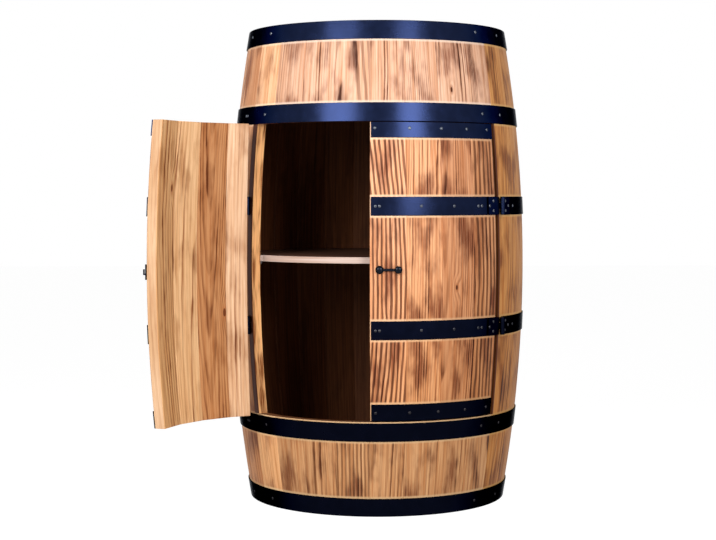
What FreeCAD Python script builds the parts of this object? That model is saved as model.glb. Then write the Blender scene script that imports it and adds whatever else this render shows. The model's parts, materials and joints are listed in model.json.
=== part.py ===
import FreeCAD, Part
import math
import os

import Sketcher
from FreeCAD import Placement, Rotation, Vector

# Barrel bar cabinet: an upright barrel of bowed staves held by six iron hoops, with a
# pair of doors cut from the staves of its front, a shelf, and a latch on the right door.
# Millimetres. The origin is on the floor, on the barrel's axis. +Z is up and the doors
# face -Y. An angle round the barrel is 0 at -Y and grows towards +X, so the right door,
# hinged at the +X side, has the angles from about -4 to +50.

DIMENSIONS = (
    # The barrel
    ("barrel_height", 800, "floor to rim"),
    ("belly_radius", 253.5, "outside of the wood at half height, across flats"),
    ("bow_radius", 2300, "arc along the outside of a stave"),
    ("stave_wall", 18, "stave thickness"),
    ("stave_count", 26, "staves in a full round"),
    ("flats_per_stave", 2, "flats planed on a stave's outside"),
    ("rim_width", 10, "flat end left by the chime bevel"),
    ("chime_height", 12, "height of the chime bevel"),
    ("blank_width", 76, "wider than any stave"),
    # The heads, held in the croze grooves
    ("head_radius", 209.6, "head board radius"),
    ("head_wall", 16, "head thickness"),
    ("head_tongue", 8, "thickness at the rim"),
    ("head_tongue_length", 6, "rim to the foot of the bevel"),
    ("head_bevel", 14, "rim to the head of the bevel"),
    ("head_boards", 5, "boards glued into a head"),
    ("croze_height", 30, "groove's middle from the stave end"),
    ("croze_fit", 0.2, "play of the head in its groove"),
    # The doorway and the doors
    ("right_jamb_angle", 51.4, "doorway's right edge, at a joint of two staves"),
    ("left_jamb_angle", 56.1, "doorway's left edge, cut in a stave"),
    ("opening_bottom", 157, "top of the sill"),
    ("opening_top", 638.5, "underside of the header"),
    ("door_bottom", 159, "door's lower edge"),
    ("door_top", 637, "door's upper edge"),
    ("door_gap_angle", 1.4, "saw cut between door and jamb"),
    ("meeting_gap_angle", 0.7, "gap between the doors"),
    ("left_door_open", 100.5, "left door's opening at rest"),
    # Hoops on the barrel and straps on the doors
    ("band_width", 30, "hoop and bilge strap height"),
    ("band_wall", 2, "hoop iron thickness"),
    ("band_fit", 0.1, "hoop to wood"),
    ("lower_quarter_inset", 125, "quarter hoop from the stave end"),
    ("upper_quarter_inset", 132, "quarter hoop from the stave end"),
    ("lower_bilge_band", 290, "lower bilge band's lower edge"),
    ("upper_bilge_band", 488, "upper bilge band's lower edge"),
    ("lap_angle", 10, "hoop's riveted overlap, at the back"),
    ("hoop_end_angle", 1.9, "jamb to the end of a bilge hoop"),
    ("strap_inset_angle", 0.35, "bilge strap's end from the door's edge"),
    ("short_strap_inset", 2.1, "jamb to the end of a top or bottom strap"),
    ("top_strap_width", 25, "top strap height"),
    ("bottom_strap_width", 27, "bottom strap height"),
    # Hinges
    ("pivot_radius", 258.3, "hinge axis from the barrel's axis"),
    ("pivot_angle", 0.8, "jamb to the hinge axis"),
    ("knuckle_radius", 4, "knuckle outside"),
    ("pin_radius", 2, "hinge pin"),
    ("pin_fit", 0.05, "radial play of the pin"),
    ("knuckle_gap", 0.3, "between neighbouring knuckles"),
    ("leaf_wall", 1.8, "leaf thickness"),
    ("leaf_height", 29, "leaf height"),
    ("leaf_start_angle", 1.2, "pivot to the plate of a leaf"),
    ("leaf_end_angle", 7.7, "pivot to the far end of a leaf"),
    ("tongue_lap_angle", 0.3, "tongue over the plate of a leaf"),
    # Shelf
    ("shelf_bottom", 411, "underside"),
    ("shelf_wall", 10, "thickness"),
    ("shelf_radius", 235.1, "edge that meets the staves"),
    ("shelf_front_radius", 229, "front edge, clear of the doors"),
    ("shelf_step_angle", 1.2, "jamb to where the front edge steps back"),
    ("shelf_pin_angle", 5.2, "jamb to a front shelf pin"),
    ("shelf_pin_radius", 3, "dowel pin under the shelf"),
    ("shelf_pin_depth", 10, "pin in the stave"),
    ("shelf_pin_reach", 12, "pin out of the stave"),
    ("shelf_pin_fit", 0.05, "radial play of the pin"),
    # Latch
    ("latch_height", 402, "pivot from the floor"),
    ("latch_angle", -0.15, "pivot's place round the barrel"),
    ("latch_reach", 30, "pivot to knob"),
    ("latch_bar_width", 4.2, "arm between eye and knob"),
    ("latch_bar_wall", 2, "arm thickness"),
    ("latch_eye_radius", 6, "eye and knob"),
    ("latch_pivot_radius", 2.5, "shoulder in the eye"),
    ("latch_pivot_fit", 0.05, "radial play of the eye"),
    ("rosette_radius", 6.7, "washer under the eye"),
    ("rosette_wall", 1.2, "washer under the eye"),
    ("latch_play", 0.15, "beside the eye, both faces"),
    ("knob_height", 3, "knob and head of the pivot"),
    ("knob_inset", 0.5, "their foot from the edge of the eye"),
    ("keeper_distance", 21.6, "latch pivot to the keeper's middle"),
    ("keeper_height", 24, "plate of the keeper"),
    ("keeper_width", 9, "plate of the keeper"),
    ("keeper_wall", 1.3, "plate and hook"),
    ("keeper_hook_width", 3.4, "hook"),
    ("keeper_floor", 2.1, "hook's floor"),
    ("keeper_drop", 0.6, "arm to the hook's floor"),
    ("keeper_slack", 1.4, "arm to the hook's face"),
    ("keeper_lip", 2.2, "hook's tip above the arm"),
)

SHEET = "Sizes"
RIGHT, LEFT = 1, -1
HORIZONTAL_AXIS, VERTICAL_AXIS = -1, -2
START, END, CENTRE = 1, 2, 3
SEATING = 0.05  # between pieces that rest on or are screwed to each other
LEAST_CUT = 0.5  # cubic millimetres, below which a pocket has missed its piece
FULL_STAVES = 18
LEFT_JAMB = -7  # the stave whose edge the left jamb is cut in
MEETING_STAVES = (-4, -3)  # those on either side of the doors' meeting edges
BACK_PIN_STAVES = (6, 14)

document = FreeCAD.newDocument("barrel_bar_cabinet")


# ---------------------------------------------------------------------- sizes

def fill_sheet():
    sheet = document.addObject("Spreadsheet::Sheet", SHEET)
    for row, (alias, number, note) in enumerate(DIMENSIONS, start=1):
        sheet.set(f"A{row}", note)
        sheet.set(f"B{row}", str(number))
        sheet.setAlias(f"B{row}", alias)
    document.recompute()
    return sheet


sizes = fill_sheet()


def of(alias):
    """The name of a size, as an expression reads it."""
    return f"{SHEET}.{alias}"


def number(expression):
    """What an expression on the sheet comes to."""
    return float(sizes.evalExpression(str(expression)))


BOW_CENTRE = f"({of('bow_radius')} - {of('belly_radius')})"
HALF_HEIGHT = f"({of('barrel_height')} / 2)"
INNER_BOW = f"({of('bow_radius')} - {of('stave_wall')})"
BOW_MIDDLE = (f"-{BOW_CENTRE}", HALF_HEIGHT)
STAVE_ANGLE = f"(360 / {of('stave_count')})"
FLAT_ANGLE = f"({STAVE_ANGLE} / {of('flats_per_stave')})"


def radius_at(height, arc=of("bow_radius")):
    """Radius of the barrel's outside, or of another arc about the same centre."""
    return f"(sqrt({arc} ^ 2 - ({height} - {HALF_HEIGHT}) ^ 2) - {BOW_CENTRE})"


def inside_at(height):
    return radius_at(height, INNER_BOW)


def jamb(side, further="0"):
    """Angle of the doorway's edge on a side, or of a place further round the barrel."""
    edge = of("right_jamb_angle") if side == RIGHT else of("left_jamb_angle")
    return f"({side} * ({edge} + {further}))"


# ------------------------------------------------------------------ placements

def turned(angle, height=0):
    """Turns a piece drawn along +X to an angle round the barrel."""
    return Placement(Vector(0, 0, height), Rotation(Vector(0, 0, 1), angle - 90))


def facing_out(angle, radius, height):
    """Puts a piece drawn on its own XY plane, +Z outwards, on the barrel's outside."""
    outwards = turned(angle).multVec(Vector(1, 0, 0))
    face = Rotation(Vector(0, 0, 1), angle) * Rotation(Vector(1, 0, 0), 90)
    return Placement(outwards * radius + Vector(0, 0, height), face)


def on_flat(angle, height):
    """Puts a piece drawn like that on the flat that has this angle, seated on the wood."""
    flat = number(FLAT_ANGLE)
    first = number(of("right_jamb_angle")) + flat / 2
    facing = first + flat * round((angle - first) / flat)
    across = number(of("belly_radius")) * math.tan(math.radians(angle - facing))
    return (facing_out(facing, number(of("belly_radius")), height)
            * Placement(Vector(across, 0, SEATING), Rotation()))


def pivot_point(side):
    angle = number(jamb(side, of("pivot_angle")))
    return turned(angle).multVec(Vector(number(of("pivot_radius")), 0, 0))


def swung(side, angle):
    """Swings a door piece about its hinge axis, outwards for a positive angle."""
    axis = pivot_point(side)
    return (Placement(axis, Rotation(Vector(0, 0, 1), side * angle))
            * Placement(axis * -1, Rotation()))


# ------------------------------------------------------------ sketches and features

class Outline:
    """Draws one closed outline in a sketch, each corner held by sizes of the sheet."""

    def __init__(self, sketch):
        self.sketch = sketch
        self.rules = []
        self.sizes = {}

    def hold(self, kind, reference, expression):
        self.sizes[len(self.rules)] = expression
        self.rules.append(Sketcher.Constraint(kind, *reference, number(expression)))

    def locate(self, edge, point, across=None, up=None):
        """Holds a point at distances from the sketch's axes; 0 lies on the axis."""
        for kind, distance, axis in (("DistanceX", across, VERTICAL_AXIS),
                                     ("DistanceY", up, HORIZONTAL_AXIS)):
            if distance is None:
                continue
            if abs(number(distance)) < 1e-9:
                self.rules.append(Sketcher.Constraint("PointOnObject", edge, point, axis))
            elif number(distance) > 0:
                self.hold(kind, (-1, 1, edge, point), distance)
            else:
                self.hold(kind, (edge, point, -1, 1), f"-({distance})")

    def finish(self):
        self.sketch.addConstraint(self.rules)
        for index, expression in self.sizes.items():
            self.sketch.setExpression(f"Constraints[{index}]", expression)
        return self.sketch

    def draw(self, corners, arcs=None, centre=("0", "0")):
        """Joins the corners in turn. arcs gives the radius of each edge that is an arc
        about the centre; on such an edge a corner is held by its second size only."""
        arcs = arcs or {}
        total = len(corners)
        points = [Vector(number(x), number(y), 0) for x, y in corners]
        middle = Vector(number(centre[0]), number(centre[1]), 0)
        edges = []
        first_arc = None
        for index, start in enumerate(points):
            finish = points[(index + 1) % total]
            if index not in arcs:
                edge = self.sketch.addGeometry(Part.LineSegment(start, finish), False)
                edges.append((edge, START, END))
                continue
            angles = [math.atan2(point.y - middle.y, point.x - middle.x) for point in (start, finish)]
            circle = Part.Circle(middle, Vector(0, 0, 1), number(arcs[index]))
            edge = self.sketch.addGeometry(Part.ArcOfCircle(circle, min(angles), max(angles)), False)
            edges.append((edge, START, END) if angles[0] < angles[1] else (edge, END, START))
            self.hold("Radius", (edge,), arcs[index])
            if first_arc is None:
                first_arc = edge
                self.locate(edge, CENTRE, *centre)
            else:
                self.rules.append(Sketcher.Constraint("Coincident", edge, CENTRE, first_arc, CENTRE))
        for index, (edge, start, finish) in enumerate(edges):
            following, follow_start, _ = edges[(index + 1) % total]
            self.rules.append(Sketcher.Constraint("Coincident", edge, finish, following, follow_start))
            on_arc = index in arcs or (index - 1) % total in arcs
            across, up = corners[index]
            self.locate(edge, start, None if on_arc else across, up)
        return self

    def circle(self, radius, across="0", up="0"):
        where = Vector(number(across), number(up), 0)
        edge = self.sketch.addGeometry(Part.Circle(where, Vector(0, 0, 1), number(radius)), False)
        self.hold("Radius", (edge,), radius)
        if abs(number(across)) < 1e-9 and abs(number(up)) < 1e-9:
            self.rules.append(Sketcher.Constraint("Coincident", edge, CENTRE, -1, 1))
        else:
            self.locate(edge, CENTRE, across, up)
        return self


def new_body(label):
    return document.addObject("PartDesign::Body", label)


def new_sketch(body, plane, label, turn=0, lift=None):
    """A sketch on one of the body's own planes, turned about its second axis by an
    angle, or lifted off the plane by a size of the sheet."""
    sketch = body.newObject("Sketcher::SketchObject", f"{body.Label}_{label}")
    support = next(item for item in body.Origin.OriginFeatures if item.Role == plane)
    sketch.AttachmentSupport = (support, [""])
    sketch.MapMode = "FlatFace"
    sketch.AttachmentOffset = Placement(Vector(0, 0, 0), Rotation(Vector(0, 1, 0), turn))
    if lift is not None:
        sketch.AttachmentOffset = Placement(Vector(0, 0, number(lift)), Rotation())
        sketch.setExpression("AttachmentOffset.Base.z", lift)
    return sketch


def feature(body, kind, sketch, label, **settings):
    item = body.newObject(f"PartDesign::{kind}", f"{body.Label}_{label}")
    item.Profile = sketch
    for name, setting in settings.items():
        if isinstance(setting, str) and name in ("Angle", "Length"):
            setattr(item, name, number(setting))
            item.setExpression(name, setting)
        else:
            setattr(item, name, setting)
    return item


def revolve(body, sketch, label, angle="360", both_ways=True, backwards=False, kind="Revolution"):
    """Turns a section about its own upright axis."""
    axis = (sketch, ["V_Axis"])
    return feature(body, kind, sketch, label, ReferenceAxis=axis, Angle=angle,
                   Midplane=both_ways, Reversed=backwards)


def pad(body, sketch, label, length, **settings):
    return feature(body, "Pad", sketch, label, Length=length, **settings)


def pocket(body, sketch, label, length, **settings):
    """Cuts a sketch into the body, and makes sure that it did cut."""
    document.recompute()
    before = body.Shape.Volume
    item = feature(body, "Pocket", sketch, label, Length=length, **settings)
    document.recompute()
    if body.Shape.Volume > before - LEAST_CUT:
        raise RuntimeError(f"{body.Label}: {label} cuts nothing")
    return item


def grouped(label, members):
    """One node of several separate pieces."""
    group = document.addObject("Part::Compound", label)
    group.Links = members
    return group


# ---------------------------------------------------------------------- staves

def croze_corners(height):
    """The groove for a head, cut across the inside of a stave."""
    play = f"2 * {of('croze_fit')}"
    low = f"({height} - ({of('head_tongue')} + {play}) / 2)"
    high = f"({height} + ({of('head_tongue')} + {play}) / 2)"
    depth = f"({of('head_radius')} + {of('croze_fit')})"
    return [(inside_at(low), low), (depth, low), (depth, high), (inside_at(high), high)]


def blank_outline(sketch, start, end):
    """Top view of the blank of a stave, jointed to two angles from its middle."""
    near = f"({of('head_radius')} - 2 * {of('stave_wall')})"
    far = f"({of('belly_radius')} + {of('stave_wall')})"
    ends = ((near, start), (far, start), (far, end), (near, end))
    corners = [(f"({radius} * cos({angle}))", f"({radius} * sin({angle}))") for radius, angle in ends]
    return Outline(sketch).draw(corners).finish()


def outside_outline(sketch, low, high):
    """What is planed off the outside of a stave for one of its flats."""
    far = f"({of('belly_radius')} + 2 * {of('stave_wall')})"
    corners = [(radius_at(low), low), (far, low), (far, high), (radius_at(high), high)]
    return Outline(sketch).draw(corners, {3: of("bow_radius")}, BOW_MIDDLE).finish()


def inside_outline(sketch, low, high, low_end, high_end):
    """What is planed off the inside of a stave; an end that is the barrel's own end gets
    its chime bevel and croze."""
    rim = of("rim_width")
    chime = of("chime_height")
    near = f"({of('head_radius')} - 3 * {of('stave_wall')})"
    arcs = {}
    corners = [(near, low)]
    if low_end:
        over = f"({low} + {chime})"
        corners += [(f"({radius_at(low)} - {rim})", low), (inside_at(over), over)]
        arcs[len(corners) - 1] = INNER_BOW
        corners += croze_corners(f"({low} + {of('croze_height')})")
    else:
        corners += [(inside_at(low), low)]
    arcs[len(corners) - 1] = INNER_BOW
    if high_end:
        under = f"({high} - {chime})"
        corners += croze_corners(f"({high} - {of('croze_height')})")
        arcs[len(corners) - 1] = INNER_BOW
        corners += [(inside_at(under), under), (f"({radius_at(high)} - {rim})", high)]
    else:
        corners += [(inside_at(high), high)]
    corners += [(near, high)]
    return Outline(sketch).draw(corners, arcs, BOW_MIDDLE).finish()


def middle_of(index):
    """Angle of the middle of whole stave 1, 2, 3 and so on, counted from the right jamb
    round the back. Those that the doorway cuts are 0, -1 and so on to -7."""
    return f"({jamb(RIGHT)} + {STAVE_ANGLE} * ({index} - 0.5))"


def stave(label, index, low="0", high=of("barrel_height"), start=f"(-{STAVE_ANGLE} / 2)",
          end=f"({STAVE_ANGLE} / 2)"):
    """A bowed stave, or the part of it between two heights and two angles from its
    middle: its sides jointed, its outside planed in flats and its inside in one."""
    body = new_body(label)
    blank = blank_outline(new_sketch(body, "XY_Plane", "blank_outline", lift=low), start, end)
    pad(body, blank, "blank", f"({high} - {low})")
    flats, width = int(number(of("flats_per_stave"))), number(FLAT_ANGLE)
    for count in range(flats):
        middle = width * (count - (flats - 1) / 2)
        if number(start) < middle + width / 2 and middle - width / 2 < number(end):
            side = new_sketch(body, "XZ_Plane", f"flat_side_{count + 1}", turn=middle)
            pocket(body, outside_outline(side, low, high), f"flat_{count + 1}",
                   of("blank_width"), Midplane=True)
    low_end = abs(number(low)) < 1e-9
    high_end = abs(number(high) - number(of("barrel_height"))) < 1e-9
    inside = inside_outline(new_sketch(body, "XZ_Plane", "inside"), low, high, low_end, high_end)
    pocket(body, inside, "hollow", of("blank_width"), Midplane=True)
    body.Placement = turned(number(middle_of(index)))
    return body


def shelf_pin_height():
    return f"({of('shelf_bottom')} - {of('shelf_pin_radius')} - {SEATING})"


def bore_for_shelf_pin(body, turn):
    """A blind hole for a shelf pin, bored outwards from the inside of the stave."""
    sketch = new_sketch(body, "YZ_Plane", "pin_hole", turn=turn)
    radius = f"({of('shelf_pin_radius')} + {of('shelf_pin_fit')})"
    Outline(sketch).circle(radius, up=shelf_pin_height()).finish()
    depth = f"({inside_at(shelf_pin_height())} + {of('shelf_pin_depth')} + {SEATING})"
    pocket(body, sketch, "pin_bore", depth, Reversed=True)


def shelf_pin_angles():
    """The numbers of the staves that hold the shelf pins, with the angles of the pins."""
    further = of("shelf_pin_angle")
    angles = {1: jamb(RIGHT, further), FULL_STAVES: f"(360 + {jamb(LEFT, further)})"}
    return {**angles, **{index: middle_of(index) for index in BACK_PIN_STAVES}}


def full_staves():
    """The staves that run the barrel's whole height, behind the doorway."""
    pins = shelf_pin_angles()
    for index in range(1, FULL_STAVES + 1):
        body = stave(f"stave_{index:02d}", index)
        if index in pins:
            bore_for_shelf_pin(body, number(f"{pins[index]} - {middle_of(index)}"))
        yield body


def left_jamb_stave():
    """The stave at the left jamb: the doorway is notched out of most of its width."""
    body = stave("left_jamb_stave", LEFT_JAMB)
    middle = middle_of(LEFT_JAMB)
    spare = 2  # degrees that the notch runs past the stave's edge
    edge = f"({middle} + {STAVE_ANGLE} / 2 + {spare})"
    turn = number(f"({jamb(LEFT)} + {edge}) / 2 - {middle}")
    sketch = new_sketch(body, "XZ_Plane", "doorway", turn=turn)
    near = f"({of('head_radius')} - {of('stave_wall')})"
    far = f"({of('belly_radius')} + {of('stave_wall')})"
    low, high = of("opening_bottom"), of("opening_top")
    Outline(sketch).draw([(near, low), (far, low), (far, high), (near, high)]).finish()
    revolve(body, sketch, "notch", f"({edge} - {jamb(LEFT)})", kind="Groove")
    return body


def short_staves(label, low, high):
    """The ends left of the staves that the doorway cuts through."""
    members = [stave(f"{label}_{count + 1}", -count, low, high) for count in range(-LEFT_JAMB)]
    return grouped(label, members)


# ----------------------------------------------------------------------- heads

def many_sided(label, low, high, low_radius, high_radius):
    """A solid with a straight side over each flat of the staves, from one height to
    another; the radii are across its flats."""
    sides = f"({of('stave_count')} * {of('flats_per_stave')})"
    outlines = []
    for end, height, radius in (("foot", low, low_radius), ("top", high, high_radius)):
        outline = document.addObject("Part::RegularPolygon", f"{label}_{end}")
        outline.Polygon = int(number(sides))
        outline.setExpression("Circumradius", f"{radius} / cos(180 / {sides})")
        outline.Placement = turned(number(jamb(RIGHT)), number(height))
        outlines.append(outline)
    item = document.addObject("Part::Loft", label)
    item.Sections = outlines
    item.Solid, item.Ruled = True, True
    return item


def joined(kind, label, base, tool):
    """Two pieces fused, the part common to them, or one cut by the other."""
    item = document.addObject(f"Part::{kind}", label)
    item.Base, item.Tool = base, tool
    return item


def head(label, middle_height, upside_down=False):
    """A head of glued boards, flat inside the barrel and bevelled outside to a tongue
    that sits in the croze."""
    rim = f"({of('head_radius')} * cos({FLAT_ANGLE} / 2))"
    tongue = f"({of('head_tongue')} / 2)"
    outside = f"({of('head_wall')} - {tongue})"
    edge = many_sided(f"{label}_edge", f"-{tongue}", tongue, rim, rim)
    foot, flat = f"({rim} - {of('head_tongue_length')})", f"({rim} - {of('head_bevel')})"
    bevel = many_sided(f"{label}_bevel", tongue, outside, foot, flat)
    disc = joined("Fuse", f"{label}_disc", edge, bevel)
    count = int(number(of("head_boards")))
    boards = []
    for index in range(count):
        blank = document.addObject("Part::Box", f"{label}_blank_{index + 1}")
        blank.setExpression("Length", f"2 * {rim} / {of('head_boards')}")
        blank.setExpression("Width", f"2 * {rim}")
        blank.setExpression("Height", of("head_wall"))
        left = number(rim) * (2 * index / count - 1)
        blank.Placement = Placement(Vector(left, -number(rim), -number(tongue)), Rotation())
        board = joined("Common", f"{label}_board_{index + 1}", disc, blank)
        board.Placement = Placement(Vector(0, 0, number(middle_height)),
                                    Rotation(Vector(1, 0, 0), 180 * upside_down))
        boards.append(board)
    return grouped(label, boards)


# -------------------------------------------------------------- hoops and straps

def ring(label, low, width, lift=None, wall=None):
    """Iron round the whole barrel, bent over the flats of the staves. lift is its
    distance from the wood."""
    lift = lift or of("band_fit")
    wall = wall or of("band_wall")
    high = f"({low} + {width})"
    layers = []
    for face, out in (("outside", f"{lift} + {wall}"), ("inside", lift)):
        radii = (f"({radius_at(height)} + {out})" for height in (low, high))
        layers.append(many_sided(f"{label}_{face}", low, high, *radii))
    return joined("Cut", label, *layers)


def bent_iron(label, low, width, start, end, **settings):
    """The stretch of such a ring between two angles."""
    stretch = document.addObject("Part::Cylinder", f"{label}_stretch")
    stretch.setExpression("Radius", f"2 * {of('belly_radius')}")
    stretch.setExpression("Height", width)
    stretch.setExpression("Angle", f"{end} - ({start})")
    stretch.Placement = turned(number(start), number(low))
    return joined("Common", label, ring(f"{label}_ring", low, width, **settings), stretch)


def hoop(label, low, whole=True):
    """A hoop with its ends lapped at the back. One that isn't whole leaves the doorway
    free, and runs from jamb to jamb."""
    width = of("band_width")
    if whole:
        bend = ring(f"{label}_bend", low, width)
    else:
        start, end = (jamb(side, of("hoop_end_angle")) for side in (RIGHT, LEFT))
        bend = bent_iron(f"{label}_bend", low, width, start, f"(360 + {end})")
    back, half = 180, f"({of('lap_angle')} / 2)"
    lap = bent_iron(f"{label}_lap", low, width, f"({back} - {half})", f"({back} + {half})",
                    lift=f"({of('band_fit')} + {of('band_wall')})")
    return joined("Fuse", label, bend, lap)


# ----------------------------------------------------------------------- doors

MEETING = f"({jamb(RIGHT)} - 4 * {STAVE_ANGLE})"


def door_edges(side):
    """Angles of the stave edges across a door, from the meeting edge to the hinge edge."""
    inner = [f"({MEETING} + {side * count} * {STAVE_ANGLE})" for count in (1, 2, 3)]
    meeting = f"({MEETING} + {side} * {of('meeting_gap_angle')} / 2)"
    return [meeting, *inner, jamb(side, f"(-{of('door_gap_angle')})")]


def in_order(first, second):
    return (first, second) if number(first) < number(second) else (second, first)


def door_staves(name, side):
    """The door's four staves, cut from the same staves as those above and below it."""
    edges = door_edges(side)
    first = MEETING_STAVES[side == RIGHT]
    for count in range(4):
        index = first + side * count
        ends = in_order(edges[count], edges[count + 1])
        start, end = (f"({angle} - {middle_of(index)})" for angle in ends)
        yield stave(f"{name}_stave_{count + 1}", index, of("door_bottom"), of("door_top"), start, end)


def door_straps(name, side):
    """Four straps: short ones at the top and bottom, and two that line up with the bilge
    hoops and carry the hinges."""
    free_edge, *_, hinge_edge = door_edges(side)
    inset = f"{side} * {of('strap_inset_angle')}"
    near, full = f"({free_edge} + {inset})", f"({hinge_edge} - {inset})"
    short = jamb(side, f"(-{of('short_strap_inset')})")
    top = f"({of('door_top')} - {of('top_strap_width')})"
    rows = (("top_strap", top, of("top_strap_width"), short),
            ("upper_bilge_strap", of("upper_bilge_band"), of("band_width"), full),
            ("lower_bilge_strap", of("lower_bilge_band"), of("band_width"), full),
            ("bottom_strap", of("door_bottom"), of("bottom_strap_width"), short))
    for part, low, width, far in rows:
        start, end = in_order(near, far)
        yield bent_iron(f"{name}_{part}", low, width, start, end)


# ---------------------------------------------------------------------- hinges

def leaf_inset():
    return f"(({of('band_width')} - {of('leaf_height')}) / 2)"


def knuckle_height():
    return f"(({of('leaf_height')} - 2 * {of('knuckle_gap')}) / 3)"


def hinge_leaf(label, side, band, on_door):
    """One leaf of a hinge: a plate bent to the band that it is screwed to, tongues to its
    knuckles, and the pin hole through them. The leaf on the jamb has the two outer
    knuckles, the leaf on the door the middle one."""
    low = f"({band} + {leaf_inset()})"
    step = f"({knuckle_height()} + {of('knuckle_gap')})"
    bases = [f"({low} + {step})"] if on_door else [low, f"({low} + 2 * {step})"]
    lift = f"({of('band_fit')} + {of('band_wall')} + {SEATING})"
    pivot = jamb(side, of("pivot_angle"))
    way = -1 if (side == RIGHT) == on_door else 1
    ends = [f"({pivot} + {way} * {of(size)})" for size in ("leaf_start_angle", "leaf_end_angle")]
    plate = bent_iron(f"{label}_plate", low, of("leaf_height"), *in_order(*ends),
                      lift=lift, wall=of("leaf_wall"))

    body = new_body(f"{label}_knuckles")
    near = f"({of('pivot_radius')} - {of('knuckle_radius')})"
    far = f"({near} + {of('leaf_wall')})"
    for index, base in enumerate(bases, start=1):
        top = f"({base} + {knuckle_height()})"
        tongue = new_sketch(body, "XZ_Plane", f"tongue_section_{index}")
        over = f"((max({radius_at(base)}; {radius_at(top)}) + {lift}) / cos({FLAT_ANGLE} / 2))"
        Outline(tongue).draw([(over, base), (far, base), (far, top), (over, top)]).finish()
        revolve(body, tongue, f"tongue_{index}", f"({of('leaf_start_angle')} + {of('tongue_lap_angle')})",
                both_ways=False, backwards=way < 0)
        knuckle = new_sketch(body, "XY_Plane", f"knuckle_outline_{index}", lift=base)
        Outline(knuckle).circle(of("knuckle_radius"), of("pivot_radius")).finish()
        pad(body, knuckle, f"knuckle_{index}", knuckle_height())
    hole = new_sketch(body, "XY_Plane", "pin_hole", lift=low)
    Outline(hole).circle(f"({of('pin_radius')} + {of('pin_fit')})", of("pivot_radius")).finish()
    pocket(body, hole, "pin_bore", of("leaf_height"), Reversed=True)
    body.Placement = turned(number(pivot))
    return joined("Fuse", label, plate, body)


def hinge_leaves(label, side, on_door):
    bands = ("upper_bilge_band", "lower_bilge_band")
    leaves = [hinge_leaf(f"{label}_{band}", side, of(band), on_door) for band in bands]
    return grouped(label, leaves)


def hinge_pin(label, side, band):
    """A plain pin, flush with the knuckles."""
    body = new_body(label)
    sketch = Outline(new_sketch(body, "XY_Plane", "section")).circle(of("pin_radius")).finish()
    pad(body, sketch, "rod", of("leaf_height"))
    foot = number(f"{of(band)} + {leaf_inset()}")
    body.Placement = Placement(pivot_point(side) + Vector(0, 0, foot), Rotation())
    return body


def hinge_pins():
    sides = (("right", RIGHT), ("left", LEFT))
    bands = ("upper_bilge_band", "lower_bilge_band")
    pins = [hinge_pin(f"{name}_{band}_pin", side, band) for name, side in sides for band in bands]
    return grouped("hinge_pins", pins)


# ----------------------------------------------------------------------- shelf

def shelf():
    """A round board whose front edge is cut back, clear of the closed doors."""
    body = new_body("shelf")
    outline = Outline(new_sketch(body, "XY_Plane", "round"))
    pad(body, outline.circle(of("shelf_radius")).finish(), "board", of("shelf_wall"))
    left, right = (jamb(side, of("shelf_step_angle")) for side in (LEFT, RIGHT))
    turn = number(f"({left} + {right}) / 2")
    sketch = new_sketch(body, "XZ_Plane", "front_section", turn=turn)
    near, far = of("shelf_front_radius"), f"({of('shelf_radius')} + {of('stave_wall')})"
    spare = 1  # that the cut runs past the board's faces
    low, high = f"(-{spare})", f"({of('shelf_wall')} + {spare})"
    Outline(sketch).draw([(near, low), (far, low), (far, high), (near, high)]).finish()
    revolve(body, sketch, "front", f"({right} - {left})", kind="Groove")
    body.Placement = turned(0, number(of("shelf_bottom")))
    return body


def shelf_pin(label, angle):
    """A dowel pin in the stave, under the shelf's edge."""
    body = new_body(label)
    sketch = Outline(new_sketch(body, "YZ_Plane", "section")).circle(of("shelf_pin_radius")).finish()
    pad(body, sketch, "dowel", f"({of('shelf_pin_depth')} + {of('shelf_pin_reach')})")
    height = number(shelf_pin_height())
    start = number(f"{inside_at(shelf_pin_height())} - {of('shelf_pin_reach')}")
    body.Placement = turned(angle, height) * Placement(Vector(start, 0, 0), Rotation())
    return body


def shelf_pins():
    return grouped("shelf_pins", [shelf_pin(f"shelf_pin_in_stave_{index}", number(angle))
                                  for index, angle in shelf_pin_angles().items()])


# ----------------------------------------------------------------------- latch

def arm_level():
    """Height of the arm's underside over the washer's."""
    return f"({of('rosette_wall')} + {of('latch_play')})"


def latch_pivot():
    """Washer, shoulder and head, turned as one."""
    body = new_body("latch_pivot")
    sketch = new_sketch(body, "XZ_Plane", "section")
    wide, thin = of("rosette_radius"), of("latch_pivot_radius")
    foot = f"({of('latch_eye_radius')} - {of('knob_inset')})"
    under = f"({arm_level()} + {of('latch_bar_wall')} + {of('latch_play')})"
    top = f"({under} + {of('knob_height')})"
    washer = of("rosette_wall")
    corners = [("0", "0"), (wide, "0"), (wide, washer), (thin, washer), (thin, under), (foot, under),
               (foot, top), ("0", top)]
    Outline(sketch).draw(corners).finish()
    revolve(body, sketch, "turning", both_ways=False)
    body.Placement = on_flat(number(of("latch_angle")), number(of("latch_height")))
    return body


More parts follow.
